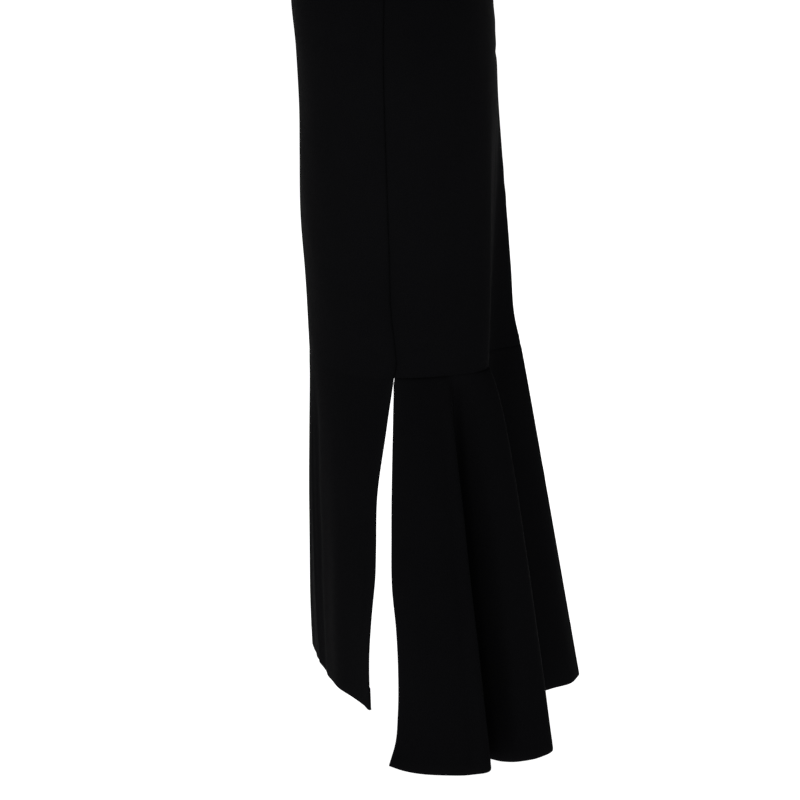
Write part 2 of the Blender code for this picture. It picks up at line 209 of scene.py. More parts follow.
def frontLine(z, right=False):
    level = levelAt(max(z, cut["kneeZ"]))
    line = quarter(level["halfWidth"], -level["front"], level["side"], level["frontPower"])
    if z < cut["kneeZ"]:
        down = (cut["kneeZ"] - z) / (cut["kneeZ"] - cut["frontHemZ"])
        shares = np.linspace(0, 1, cut["fineness"])
        table = np.array(frontHem)
        own = arcShares(table)
        hem = np.stack(
            [smoothThrough(np.column_stack([own, table[:, k]]), shares) for k in range(2)], axis=1
        )
        eased = down * (2 - down)
        line = along(line, shares) * (1 - eased) + hem * eased
        swell = cut["frontBelly"] * math.sin(math.pi * down**1.5) * (1 - shares) ** 0.5
        line = line + outward(line) * swell[:, None]
        line[:, 1] += edgeSway(rightFrontEdge if right else frontEdge, down, 1 - shares)
    length = np.linalg.norm(np.diff(line, axis=0), axis=1).sum()
    line[:, 1] += seamShift(z, (1 - arcShares(line)) * length)
    return line


def backLine(z, right=False):
    level = levelAt(z)
    line = quarter(level["halfWidth"], level["back"], level["side"], level["backPower"])[::-1]
    shares = arcShares(line)
    length = np.linalg.norm(np.diff(line, axis=0), axis=1).sum()
    place = level["place"] + (cut["rightRidgeShift"] if right else 0)
    ridge = level["ridge"] * (cut["rightRidgeShare"] if right else 1)
    toRidge = np.maximum(place - shares, 0) * length / cut["ridgeRise"]
    pastRidge = np.maximum(shares - place, 0) * length / cut["ridgeFall"]
    fromCentre = (1 - shares) * length
    lift = ridge * np.exp(-(toRidge**2.2) - pastRidge**1.6)
    lift += level["tail"] * np.exp(-((fromCentre / cut["tailReach"]) ** 2))
    line = line + outward(line) * lift[:, None]
    line[:, 1] += seamShift(z, shares * length)
    return line


def flounceHem(shares, right=False):
    x, y, belly, drop = (smoothThrough(flounceFolds, shares, column) for column in (1, 2, 3, 4))
    if right:
        fade = np.sin(math.pi * shares)
        x = x + cut["rightDrift"] * fade * np.sin(9 * shares + 1)
        y = y + cut["rightDrift"] * fade * np.cos(7 * shares)
    return np.stack([x, y], axis=1), belly, drop


# Where rows and columns of points lie near an edge, in millimetres from it.
edgeSteps = {
    "seam": (0, 0.4, 0.9, 1.5, 2.3, 3.4, 5.0, 7.2, 9.4, 10.0, 10.7, 13.0),
    "hem": (0, 0.5, 1.2, 2.2, 4.0, 8.0, 13.0, 18.0, 22.5, 24.3, 25.0, 25.8, 29.0),
    "narrowHem": (0, 0.5, 1.2, 2.2, 3.6, 5.4, 7.4, 9.2, 9.8, 10.5, 13.0),
    "slit": (0, 0.4, 1.0, 1.9, 3.2, 5.5, 8.5, 11.5, 14.3, 15.0, 15.8, 19.0),
    "knee": (0, 2, 5),
    "middle": (0, 4),
    "bandTop": (0, 0.4, 1.0, 2.0, 3.6),
    "bandFoot": (0, 0.4, 1.0, 2.0, 3.4),
    "bandMiddle": (0, 1.5),
    "bandEnd": (0, 0.3, 0.8, 1.6, 3.0),
}
# How long a row of each piece is taken to be where its columns are laid out.
rowLength = {"front": 0.212, "back": 0.235, "flounce": 0.56, "band": 0.332}


def spaced(length, startEdge, endEdge, step):
    # places from 0 to a length, close together at both ends and about a step apart between
    start = np.array(edgeSteps[startEdge]) / 1000
    end = length - np.array(edgeSteps[endEdge])[::-1] / 1000
    count = max(2, round((end[0] - start[-1]) / step))
    return np.concatenate([start, np.linspace(start[-1], end[0], count + 1)[1:-1], end])


def columnShares(piece, startEdge, endEdge, step):
    return spaced(rowLength[piece], startEdge, endEdge, step) / rowLength[piece]


def lofted(lineAt, heights, shares, right=False):
    rows = []
    for z in heights:
        line = along(lineAt(z, right), shares)
        rows.append(np.column_stack([line, np.full(len(line), z)]))
    return np.array(rows)


def mirrored(grid):
    return grid[:, ::-1] * np.array([-1, 1, 1])


def frontGrid(step=0.0042):
    upper = spaced(-cut["kneeZ"] - cut["bandHeight"], "seam", "knee", step)
    lower = spaced(cut["kneeZ"] - cut["frontHemZ"], "knee", "hem", step)
    heights = np.concatenate([-cut["bandHeight"] - upper, cut["kneeZ"] - lower[1:]])
    shares = columnShares("front", "middle", "slit", step)
    right, left = (lofted(frontLine, heights, shares, isRight) for isRight in (True, False))
    return np.concatenate([mirrored(right), left[:, 1:]], axis=1)


def backGrid(right=False, step=0.0036):
    top = -cut["bandHeight"]
    heights = top - spaced(top - cut["kneeZ"], "seam", "seam", step)
    return lofted(backLine, heights, columnShares("back", "seam", "seam", step), right)


def flounceGrid(right=False, step=0.0036, columnStep=0.0034):
    top = cut["kneeZ"]
    length = top - cut["backHemZ"]
    downs = spaced(length, "seam", "narrowHem", step) / length
    fine = np.linspace(0, 1, 2001)
    hem, _, _ = flounceHem(fine, right)
    spread = 0.75 * arcShares(hem) + 0.25 * fine  # columns go mostly by the hem, the longer edge
    places = columnShares("flounce", "narrowHem", "seam", columnStep)
    shares = np.interp(places, spread, fine)
    seam = along(backLine(cut["kneeZ"], right), shares)
    hem, belly, drop = flounceHem(shares, right)
    away = seam / np.linalg.norm(seam, axis=1, keepdims=True)
    place = np.where(belly < 0, cut["valleyPlace"], cut["bellyPlace"])
    rows = []
    for down in downs:
        line = seam * (1 - down) + hem * down
        line = line + away * (belly * np.sin(math.pi * down**place))[:, None]
        line[:, 1] += edgeSway(flounceEdge, down, shares)
        line[:, 1] += seamShift(top - length * down, shares * cut["seamShare"])
        rows.append(np.column_stack([line, top - (length + drop) * down]))
    return np.array(rows)


# How the cloth behaves at its seams and edges, in metres.
cloth = {
    "wall": 0.0013,
    "turned": 0.0011,  # what each turned-in layer adds to the wall
    "allowance": 0.010,
    "hem": 0.025,
    "narrowHem": 0.0098,
    "slitHem": 0.015,
    "rollDepth": 0.0009,
    "rollReach": 0.0024,
    "kneeRoll": 0.5,
    "imprint": 0.00012,
    "stitchedEdge": 0.00012,  # sewn edges meet, and press into each other by this much
    "foldedEdge": 0.0006,
    "slitStart": 0.004,  # edges are folded from this far below the knee seam
    "pucker": 0.00022,
    "puckerReach": 0.014,
    "puckerWaves": (0.0061, 0.0043, 0.031),  # two that add up, and one that lets them come and go
    "puckerStill": 0.002,  # no pucker this near to a seam, where two pieces meet
    "creaseStill": 0.006,  # and no crease this near
    "softness": 0.00030,
    "longWaves": (0.019, 0.11, 0.052),  # how the soft waves run across and down
    "shortWaves": (0.011, 0.047),
    "dragWaves": (0.045, 0.024),
    "flapSoftness": 0.0006,
    "imprintWidth": 0.0016,
    "sideRoll": 1.3,
    "paintedSeamShade": 0.0012,  # how far the shade of a seam reaches
    "paintedSideSeamShade": 0.0034,  # and how much further just above the slits
}


def acrossAndDown(grid):
    # distances over the cloth from the first column and from the first row
    stepsAcross = np.linalg.norm(np.diff(grid, axis=1), axis=2)
    stepsDown = np.linalg.norm(np.diff(grid, axis=0), axis=2)
    across = np.pad(np.cumsum(stepsAcross, axis=1), ((0, 0), (1, 0)))
    down = np.pad(np.cumsum(stepsDown, axis=0), ((1, 0), (0, 0)))
    return across, down


def faceOut(grid):
    downwards = np.gradient(grid, axis=0)
    sideways = np.gradient(grid, axis=1)
    normal = np.cross(downwards, sideways)
    return normal / np.maximum(np.linalg.norm(normal, axis=2, keepdims=True), 1e-12)


def step01(value, low, high):
    t = np.clip((value - low) / (high - low), 0, 1)
    return t * t * (3 - 2 * t)


def flap(distance, width):
    # 1 where a turned-in layer lies behind the cloth
    soft = cloth["flapSoftness"]
    return 1 - step01(distance, width - soft, width + soft)


def clear(distance, reach=0.016):
    # keeps broad unevenness away from the edges, where two pieces meet
    return step01(distance, 0, reach)


def rollIn(distance, share=1.0):
    near = np.clip(1 - distance / cloth["rollReach"], 0, 1)
    return -cloth["rollDepth"] * share * near**2


def pressed(distance, reach):
    # 1 on an edge that the iron has shone a little, fading out beside it
    return np.exp(-distance / reach)


def paintedSeamShade(distance, more=0.0):
    # painted shade: 1 in the bottom of a seam, where the cloth's colour is darkened, fading out
    # beside it
    return np.exp(-distance / (cloth["paintedSeamShade"] + more))


def paintedSideSeamShade(distance, z):
    # the painted shade beside the side seams reaches further on the way down to the slits
    return paintedSeamShade(distance, cloth["paintedSideSeamShade"] * step01(-z, 0.33, 0.48))


def imprint(distance, width):
    # the turned-in layer's edge shows through as a faint line
    return cloth["imprint"] * np.exp(-(((distance - width) / cloth["imprintWidth"]) ** 2))


def pucker(place, distance, phase):
    # small uneven pulls along an edge
    first, second, slow = cloth["puckerWaves"]
    wave = np.sin(place / first + phase) + 0.7 * np.sin(place / second + 2.3 * phase)
    gate = 0.5 + 0.5 * np.sin(place / slow + 1.7 * phase)
    fade = np.exp(-((distance / cloth["puckerReach"]) ** 2))
    return cloth["pucker"] * wave * gate**1.5 * fade


def seamPucker(place, distance, phase):
    return pucker(place, distance, phase) * clear(distance, cloth["puckerStill"])


def softWaves(across, down, phase):
    # a shallow unevenness, so that no stretch of cloth is perfectly even
    wide, tall, swell = cloth["longWaves"]
    long = np.sin(across / wide + down / tall + phase) * np.sin(down / swell + 1.3 * phase)
    wide, tall = cloth["shortWaves"]
    short = 0.5 * np.sin(across / wide - down / tall + 2.1 * phase)
    wide, tall = cloth["dragWaves"]
    drag = 0.6 * np.sin(down / tall + across / wide + 0.7 * phase)
    return cloth["softness"] * (long + short + drag)


def creaseLift(creases, across, z):
    width = across[:, -1]
    total = np.zeros(across.shape)
    for height, reach, ends, ease, path in creases.values():
        table = np.array(path, float)
        t = np.linspace(0, 1, len(table))
        fine = np.linspace(0, 1, 25)
        shares = smoothThrough(np.column_stack([t, table[:, 0]]), fine)
        heights = smoothThrough(np.column_stack([t, table[:, 1]]), fine)
        places = shares * np.interp(-heights, -z[:, 0], width)
        best = np.full(across.shape, 1e9)
        where = np.zeros(across.shape)
        for k in range(len(fine) - 1):
            dx, dz = places[k + 1] - places[k], heights[k + 1] - heights[k]
            t = ((across - places[k]) * dx + (z - heights[k]) * dz) / (dx * dx + dz * dz)
            t = np.clip(t, 0, 1)
            gap = np.hypot(across - places[k] - t * dx, z - heights[k] - t * dz)
            closer = gap < best
            best = np.where(closer, gap, best)
            where = np.where(closer, (k + t) / (len(fine) - 1), where)
        if ends == "open":
            fade = step01(where, 0, ease)
        else:
            fade = np.sin(math.pi * np.clip(where, 0, 1)) ** ease
        total += height * fade * np.exp(-((best / reach) ** 2))
    return total


surfaces = {}


def clothShell(name, outer, normal, depth, bulge, marks):
    # a closed wall: the outer grid, an inner one behind it, and a rounded rim between their edges
    rows, columns = outer.shape[:2]
    inner = outer - normal * depth[:, :, None]
    surfaces[name] = {"outer": outer, "inner": inner, "normal": normal}
    number = np.arange(rows * columns).reshape(rows, columns)
    loop = np.concatenate([
        number[0, :], number[1:, -1], number[-1, -2::-1], number[-2:0:-1, 0],
    ])
    i, j = loop // columns, loop % columns
    away = np.zeros((len(loop), 3))
    downwards = np.gradient(outer, axis=0)[i, j]
    sideways = np.gradient(outer, axis=1)[i, j]
    away += -downwards * (i == 0)[:, None] + downwards * (i == rows - 1)[:, None]
    away += -sideways * (j == 0)[:, None] + sideways * (j == columns - 1)[:, None]
    away /= np.linalg.norm(away, axis=1, keepdims=True)
    front, back = outer[i, j], inner[i, j]
    points = [outer.reshape(-1, 3), inner.reshape(-1, 3)]
    rings = [loop]
    start = 2 * rows * columns
    for angle in (math.pi / 4, math.pi / 2, 3 * math.pi / 4):
        middle = (front + back) / 2 + (front - back) / 2 * math.cos(angle)
        points.append(middle + away * (bulge[i, j] * math.sin(angle))[:, None])
        rings.append(start + np.arange(len(loop)))
        start += len(loop)
    rings.append(loop + rows * columns)
    a, b = number[:-1, :-1].ravel(), number[1:, :-1].ravel()
    c, d = number[1:, 1:].ravel(), number[:-1, 1:].ravel()
    faces = [np.stack([a, b, c, d], axis=1)]
    faces.append(faces[0][:, ::-1] + rows * columns)
    for near, far in zip(rings, rings[1:]):
        faces.append(np.stack([near, np.roll(near, -1), np.roll(far, -1), far], axis=1))
    values = {
        key: np.concatenate([mark.ravel(), mark.ravel(), np.tile(mark[i, j], 3)])
        for key, mark in marks.items()
    }
    return meshPiece(name, np.concatenate(points), np.concatenate(faces), values)


def meshPiece(name, points, faces, values=None):
    mesh = bpy.data.meshes.new(name)
    mesh.from_pydata(np.asarray(points).tolist(), [], [list(map(int, face)) for face in faces])
    mesh.shade_smooth()
    for key, numbers in (values or {}).items():
        store = mesh.attributes.new(key, "FLOAT", "POINT")
        store.data.foreach_set("value", np.asarray(numbers, np.float32))
    piece = bpy.data.objects.new(name, mesh)
    bpy.context.scene.collection.objects.link(piece)
    return piece


# Each crease is a soft ridge or trough: its height, its reach sideways, whether it fades at both
# ends (closed) or is strongest at its last one (open), how gently it does so, and its path through
# points of (share across, z). The front's shares go from its right side (0) to its left (1).
frontPanel = {
    "flat": (0.455, 0.905),
    "area": 0.352,
    "cornerDrop": 0.0022,
    "cornerReach": (0.006, 0.03),  # sideways and upwards
    "dropReach": 0.05,
    # how much lower the hem hangs: share across, drop
    "hemDrop": [
        (0.00, 0.0), (0.28, 0.0), (0.38, 0.0010), (0.50, 0.0022), (0.58, 0.0026), (0.655, 0.0010),
        (0.72, 0.0040), (0.785, 0.0018), (0.85, 0.0009), (0.92, 0.0003), (1.00, 0.0),
    ],
    "creases": {
        "left front fold": (0.0012, 0.0055, "open", 0.3, [
            (0.510, -0.545), (0.512, -0.66), (0.515, -0.78), (0.515, -0.897)]),
        "left front trough": (-0.0018, 0.0090, "open", 0.3, [
            (0.555, -0.545), (0.560, -0.70), (0.570, -0.897)]),
        "left lower ridge": (0.0016, 0.0042, "open", 0.3, [
            (0.605, -0.545), (0.612, -0.66), (0.630, -0.78), (0.655, -0.897)]),
        "behind the ridge": (-0.0018, 0.0080, "open", 0.3, [
            (0.672, -0.545), (0.680, -0.70), (0.700, -0.897)]),
        "right front trough": (-0.0014, 0.0105, "open", 0.6, [
            (0.420, -0.60), (0.415, -0.74), (0.41, -0.897)]),
        "right lower ridge": (0.0014, 0.0085, "open", 0.6, [
            (0.335, -0.62), (0.32, -0.72), (0.305, -0.81), (0.30, -0.897)]),
        "left knee pull": (-0.0007, 0.0050, "closed", 0.7, [
            (0.985, -0.520), (0.93, -0.505), (0.86, -0.497)]),
        "right knee pull": (-0.0006, 0.0050, "closed", 0.7, [
            (0.015, -0.523), (0.06, -0.510), (0.12, -0.500)]),
        "left slit soft fold": (0.0008, 0.010, "closed", 0.7, [
            (0.93, -0.56), (0.90, -0.66), (0.895, -0.78)]),
        "right slit soft fold": (0.0008, 0.011, "closed", 0.7, [
            (0.06, -0.57), (0.09, -0.68), (0.10, -0.80)]),
        "left thigh drag": (-0.0005, 0.009, "closed", 0.7, [
            (0.96, -0.405), (0.84, -0.420), (0.70, -0.426)]),
        "right thigh drag": (-0.0005, 0.010, "closed", 0.7, [
            (0.04, -0.380), (0.17, -0.398), (0.30, -0.402)]),
        "left hip drag": (-0.0005, 0.008, "closed", 0.7, [
            (0.97, -0.190), (0.85, -0.183), (0.73, -0.187)]),
        "right hip drag": (-0.0005, 0.009, "closed", 0.7, [
            (0.03, -0.205), (0.14, -0.197), (0.28, -0.200)]),
        "left dart": (-0.0011, 0.0013, "closed", 0.3, [
            (0.715, -0.030), (0.722, -0.075), (0.73, -0.118)]),
        "right dart": (-0.0011, 0.0013, "closed", 0.3, [
            (0.285, -0.030), (0.278, -0.075), (0.27, -0.116)]),
    },
}


def makeFront():
    grid = frontGrid()
    across, down = acrossAndDown(grid)
    fromLeft, fromHem = across[:, -1:] - across, down[-1:] - down
    fromSide = np.minimum(across, fromLeft)
    z = grid[:, :, 2]
    free = step01(-z, -cut["kneeZ"] - 0.002, -cut["kneeZ"] + 0.006)  # the slit starts here
    lift = creaseLift(frontPanel["creases"], across, z)
    lift *= np.maximum(free, clear(fromSide, cloth["creaseStill"]))
    lift += softWaves(across, down, 0.4) * clear(fromSide) * clear(down)
    lift += seamPucker(down, fromSide, 0.9) * (1 - free) + seamPucker(across, down, 2.2)
    lift += rollIn(fromSide) * (cloth["sideRoll"] * (1 - free) + 0.55 * free)
    lift += rollIn(down) + 0.4 * rollIn(fromHem)
    lift += imprint(fromSide, cloth["slitHem"]) * free + imprint(fromHem, cloth["hem"])
    lift += imprint(fromSide, cloth["allowance"]) * (1 - free) * 0.7
    normal = faceOut(grid)
    outer = grid + normal * lift[:, :, None]
    sideways, upwards = frontPanel["cornerReach"]
    corner = np.exp(-((fromSide / sideways) ** 2) - ((fromHem / upwards) ** 2))
    hemDrop = smoothThrough(frontPanel["hemDrop"], across / across[:, -1:])
    hemDrop *= np.exp(-fromHem / frontPanel["dropReach"])
    outer[:, :, 2] -= frontPanel["cornerDrop"] * corner + hemDrop
    sides = flap(fromSide, cloth["allowance"]) * (1 - free)
    sides += flap(fromSide, cloth["slitHem"]) * free
    layers = np.maximum(sides, flap(down, cloth["allowance"])) + flap(fromHem, cloth["hem"])
    depth = cloth["wall"] + cloth["turned"] * layers
    folded = (fromHem < 1e-5) | ((fromSide < 1e-5) & (z < cut["kneeZ"] - cloth["slitStart"]))
    bulge = np.where(folded, cloth["foldedEdge"], cloth["stitchedEdge"])
    marks = {
        "press": np.maximum(pressed(fromSide, 0.004) * free, pressed(fromHem, 0.005)),
        # painted shade darkens the bottoms of the seams
        "paintedSeamShade": np.maximum(paintedSideSeamShade(fromSide, z) * (1 - free), paintedSeamShade(down)),
    }
    return clothShell("front_cloth", outer, normal, depth, bulge, marks)


# Each half of the upper back and its creases, from the side seam (share 0) to the centre back (1).
backPanel = {
    "flat": (0.268, 0.530),
    "area": 0.115,
    "creases": {
        "left": {
            "ridge crest": (0.0006, 0.0060, "open", 0.6, [
                (0.62, -0.30), (0.60, -0.36), (0.565, -0.45), (0.515, -0.5385)]),
            "behind the ridge": (-0.0012, 0.0085, "open", 0.6, [
                (0.70, -0.36), (0.665, -0.44), (0.625, -0.5385)]),
            "under the seat": (-0.0007, 0.0060, "closed", 0.7, [
                (0.80, -0.265), (0.79, -0.32), (0.765, -0.40)]),
            "tail flank": (-0.0008, 0.0090, "closed", 0.7, [
                (0.87, -0.35), (0.86, -0.44), (0.83, -0.530)]),
            "knee pull": (-0.0008, 0.0048, "closed", 0.7, [
                (0.02, -0.518), (0.10, -0.503), (0.21, -0.498)]),
            "hip kink": (-0.0013, 0.0060, "closed", 0.7, [
                (0.70, -0.208), (0.85, -0.214), (1.00, -0.212), (1.30, -0.212)]),
            "second hip kink": (-0.0006, 0.0070, "closed", 0.7, [
                (0.60, -0.238), (0.76, -0.243), (0.90, -0.239)]),
            "dart": (-0.0011, 0.0013, "closed", 0.3, [
                (0.50, -0.030), (0.505, -0.085), (0.51, -0.142)]),
        },
        "right": {
            "ridge crest": (0.0005, 0.0065, "open", 0.6, [
                (0.64, -0.31), (0.62, -0.37), (0.585, -0.46), (0.535, -0.5385)]),
            "behind the ridge": (-0.0013, 0.0090, "open", 0.6, [
                (0.71, -0.38), (0.68, -0.45), (0.645, -0.5385)]),
            "under the seat": (-0.0007, 0.0065, "closed", 0.7, [
                (0.78, -0.275), (0.775, -0.33), (0.75, -0.41)]),
            "tail flank": (-0.0007, 0.0095, "closed", 0.7, [
                (0.88, -0.37), (0.865, -0.45), (0.84, -0.532)]),
            "knee pull": (-0.0007, 0.0052, "closed", 0.7, [
                (0.02, -0.521), (0.09, -0.508), (0.19, -0.501)]),
            "hip kink": (-0.0013, 0.0060, "closed", 0.7, [
                (0.68, -0.222), (0.84, -0.217), (1.00, -0.212), (1.30, -0.212)]),
            "dart": (-0.0011, 0.0013, "closed", 0.3, [
                (0.50, -0.030), (0.505, -0.083), (0.51, -0.138)]),
        },
    },
}


def sideShell(name, side, outer, normal, depth, bulge, marks):
    # one half of the back: made as a left one, kept on its own side of the centre, and mirrored
    outer[:, :, 0] = np.maximum(outer[:, :, 0], 0)
    if side == "right":
        outer, normal = mirrored(outer), mirrored(normal)
        depth, bulge = depth[:, ::-1], bulge[:, ::-1]
        marks = {key: mark[:, ::-1] for key, mark in marks.items()}
    return clothShell(f"{name}_{side}_cloth", outer, normal, depth, bulge, marks)


def makeBack(side):
    grid = backGrid(side == "right")
    across, down = acrossAndDown(grid)
    fromCentre, fromKnee = across[:, -1:] - across, down[-1:] - down
    z = grid[:, :, 2]
    phase = 1.1 if side == "left" else 2.7
    lift = creaseLift(backPanel["creases"][side], across, z)
    lift *= clear(across, cloth["creaseStill"])
    inside = clear(across) * clear(fromCentre) * clear(down) * clear(fromKnee)
    lift += softWaves(across, down, phase) * inside
    lift += seamPucker(down, across, phase) + 0.8 * seamPucker(down, fromCentre, 1.9)
    lift += seamPucker(across, fromKnee, phase + 1)
    lift += rollIn(across, cloth["sideRoll"]) + rollIn(fromCentre, 0.6)
    lift += rollIn(down) + rollIn(fromKnee, cloth["kneeRoll"])
    for distance in (across, fromCentre, fromKnee):
        lift += imprint(distance, cloth["allowance"]) * 0.7
    normal = faceOut(grid)
    outer = grid + normal * lift[:, :, None]
    layers = np.maximum.reduce([
        flap(distance, cloth["allowance"]) for distance in (across, fromCentre, down, fromKnee)
    ])
    depth = cloth["wall"] + cloth["turned"] * layers
    marks = {
        "press": np.zeros(depth.shape),
        # painted shade darkens the bottoms of the seams
        "paintedSeamShade": np.maximum.reduce([
            paintedSideSeamShade(across, z), paintedSeamShade(fromCentre), paintedSeamShade(down), paintedSeamShade(fromKnee)
        ]),
    }
    bulge = np.full(depth.shape, cloth["stitchedEdge"])
    return sideShell("back", side, outer, normal, depth, bulge, marks)


# Each half of the flounce and its creases, from the slit (share 0) to the centre back (share 1).
flouncePanel = {
    "flat": (0.505, 0.425),
    "area": 0.158,
    "foldRun": 0.05,
    "dropReach": 0.04,
    # how much lower the hem hangs: share across, drop
    "hemDrop": [
        (0.00, 0.0), (0.03, 0.0), (0.06, -0.0010), (0.14, -0.0008), (0.175, 0.0004),
        (0.205, 0.0014), (0.27, 0.0006), (0.40, 0.0005), (0.52, 0.0008), (0.60, 0.0006),
        (0.70, 0.0006), (0.80, -0.0004), (1.00, 0.0),
    ],
    "creases": {
        "left": {
            "first cone's front roll": (-0.0010, 0.011, "open", 0.6, [
                (0.05, -0.60), (0.045, -0.72), (0.04, -0.90)]),
            "first cone's soft middle": (0.0009, 0.014, "closed", 0.7, [
                (0.13, -0.56), (0.125, -0.70), (0.12, -0.85)]),
            "second cone's crest": (0.0008, 0.0060, "closed", 0.7, [
                (0.50, -0.545), (0.49, -0.66), (0.475, -0.80), (0.47, -0.93)]),
            "tail's soft flank": (0.0008, 0.012, "closed", 0.7, [
                (0.86, -0.56), (0.85, -0.70), (0.84, -0.88)]),
        },
        "right": {
            "first cone's front roll": (-0.0009, 0.012, "open", 0.6, [
                (0.05, -0.61), (0.05, -0.74), (0.045, -0.90)]),
            "first cone's soft middle": (0.0010, 0.015, "closed", 0.7, [
                (0.14, -0.57), (0.13, -0.70), (0.13, -0.84)]),
            "second cone's crest": (0.0007, 0.0065, "closed", 0.7, [
                (0.50, -0.545), (0.485, -0.67), (0.47, -0.80), (0.465, -0.93)]),
            "tail's soft flank": (0.0007, 0.013, "closed", 0.7, [
                (0.87, -0.57), (0.86, -0.72), (0.85, -0.88)]),
        },
    },
}


def makeFlounce(side):
    grid = flounceGrid(side == "right")
    across, down = acrossAndDown(grid)
    fromCentre, fromHem = across[:, -1:] - across, down[-1:] - down
    z = grid[:, :, 2]
    phase = 0.3 if side == "left" else 1.6
    lift = creaseLift(flouncePanel["creases"][side], across, z)
    atSeam = creaseLift(backPanel["creases"][side], across[:1], z[:1])
    atSeam *= clear(across[:1], cloth["creaseStill"])
    # the back's folds run on a little below the seam
    lift = lift * clear(down, 0.02) + atSeam * (1 - step01(down, 0, flouncePanel["foldRun"]))
    inside = clear(across, 0.03) * clear(fromCentre) * clear(down, 0.03)
    lift += 0.8 * softWaves(across, down, phase) * inside
    lift += seamPucker(across, down, phase + 2) + 0.8 * seamPucker(down, fromCentre, 1.4)
    lift += 0.6 * pucker(across, fromHem, phase + 3)
    lift += rollIn(across, 0.4) + rollIn(fromCentre, 0.5) + rollIn(fromHem, 0.4)
    lift += rollIn(down, cloth["kneeRoll"])
    lift += imprint(down, cloth["allowance"] * 0.5) + imprint(fromHem, cloth["narrowHem"])
    normal = faceOut(grid)
    normal[:, :, 2] *= clear(down, 0.008)  # square to the seam, where the upper panel meets it
    normal /= np.linalg.norm(normal, axis=2, keepdims=True)
    outer = grid + normal * lift[:, :, None]
    hemDrop = smoothThrough(flouncePanel["hemDrop"], across / across[:, -1:])
    outer[:, :, 2] -= hemDrop * np.exp(-fromHem / flouncePanel["dropReach"])
    layers = np.maximum.reduce([
        flap(across, cloth["narrowHem"]), flap(fromCentre, cloth["allowance"]),
        flap(down, cloth["allowance"]),
    ]) + flap(fromHem, cloth["narrowHem"])
    depth = cloth["wall"] + cloth["turned"] * layers
    folded = (fromHem < 1e-5) | ((across < 1e-5) & (down > cloth["slitStart"]))
    bulge = np.where(folded, cloth["foldedEdge"], cloth["stitchedEdge"])
    marks = {
        "press": np.maximum(pressed(across, 0.004), pressed(fromHem, 0.004)),
        # painted shade darkens the bottoms of the seams
        "paintedSeamShade": np.maximum(paintedSeamShade(fromCentre), paintedSeamShade(down)),
    }
    return sideShell("flounce", side, outer, normal, depth, bulge, marks)


waistBand = {
    "flat": (0.665, 0.033),
    "cloth": 0.0024,  # folded double
    "pivotZ": -0.0085,
    "slitHalfWidth": 0.00015,
    "notchHalfWidth": 0.0011,
    "notchHalfHeight": 0.0026,
}


def bandLine(z, right=False):
    return np.concatenate([frontLine(z, right), backLine(z, right)[1:]])


def makeBand(step=0.0012, columnStep=0.0042):
    downs = spaced(cut["bandHeight"], "bandTop", "bandFoot", step)
    places = columnShares("band", "bandMiddle", "bandEnd", columnStep)
    left = lofted(bandLine, -downs, places)
    notch = np.abs(-downs - waistBand["pivotZ"]) < waistBand["notchHalfHeight"]
    edge = np.where(notch, waistBand["notchHalfWidth"], waistBand["slitHalfWidth"])
    edge = np.where(left[:, :, 1] > 0, edge[:, None], 0)  # at the back alone
    left[:, :, 0] = np.maximum(left[:, :, 0], edge)
    grid = np.concatenate([mirrored(left), left[:, 1:]], axis=1)
    across, down = acrossAndDown(grid)
    fromFoot = down[-1:] - down
    fromEnd = np.minimum(across, across[:, -1:] - across)
    lift = rollIn(down, 0.9) + rollIn(fromFoot) + rollIn(fromEnd, 0.6)
    lift += 0.5 * softWaves(across, down, 3.3) * clear(fromEnd) * clear(down, 0.006)
    lift += 0.7 * seamPucker(across, fromFoot, 0.2)
    normal = faceOut(grid)
    outer = grid + normal * lift[:, :, None]
    depth = np.full(lift.shape, waistBand["cloth"]) + np.minimum(lift, 0) * 0.8
    bulge = np.where(fromFoot < 1e-5, cloth["stitchedEdge"], 0.0)
    marks = {
        "press": pressed(down, 0.003),
        # painted shade darkens the bottoms of the seams
        "paintedSeamShade": np.maximum(paintedSeamShade(fromFoot), paintedSeamShade(fromEnd)),
    }
    return clothShell("waistband_cloth", outer, normal, depth, bulge, marks)


def tube(points, radius, sides):
    # rings of points round a path, as arrays of points and faces
    points = np.asarray(points, float)
    tangent = np.gradient(points, axis=0)
    tangent /= np.linalg.norm(tangent, axis=1, keepdims=True)
    helper = np.where(np.abs(tangent[:, 2:]) > 0.9, [[1.0, 0, 0]], [[0, 0, 1.0]])
    sideways = np.cross(tangent, helper)
    sideways /= np.linalg.norm(sideways, axis=1, keepdims=True)
    upwards = np.cross(sideways, tangent)
    angles = np.linspace(0, 2 * math.pi, sides, endpoint=False)
    radius = np.broadcast_to(radius, (len(points),))[:, None, None]
    turn = angles[None, :, None]
    ring = sideways[:, None] * np.cos(turn) + upwards[:, None] * np.sin(turn)
    vertices = (points[:, None] + ring * radius).reshape(-1, 3)
    number = np.arange(len(vertices)).reshape(len(points), sides)
    nextSide = np.roll(number, -1, axis=1)
    faces = np.stack([number[:-1], number[1:], nextSide[1:], nextSide[:-1]], axis=2).reshape(-1, 4)
    return vertices, faces.tolist() + [number[0].tolist(), number[-1, ::-1].tolist()]


def joined(name, parts):
    points, faces, start = [], [], 0
    for vertices, own in parts:
        points.append(vertices)
        faces += [[k + start for k in face] for face in own]
        start += len(vertices)
    return meshPiece(name, np.concatenate(points), faces)


# Each kind of stitch has its length and the distance from one to the next.
thread = {
    "radius": 0.00015,
    "sides": 6,
    "arch": (-1.5, 0.3, 0.7, 0.3, -1.5),  # radii above the cloth, along one stitch
    "running": (0.0029, 0.0034),
    "blind": (0.0022, 0.0078),
    "slitStart": 0.012,  # the front's slits are stitched from this far below the knee seam
}


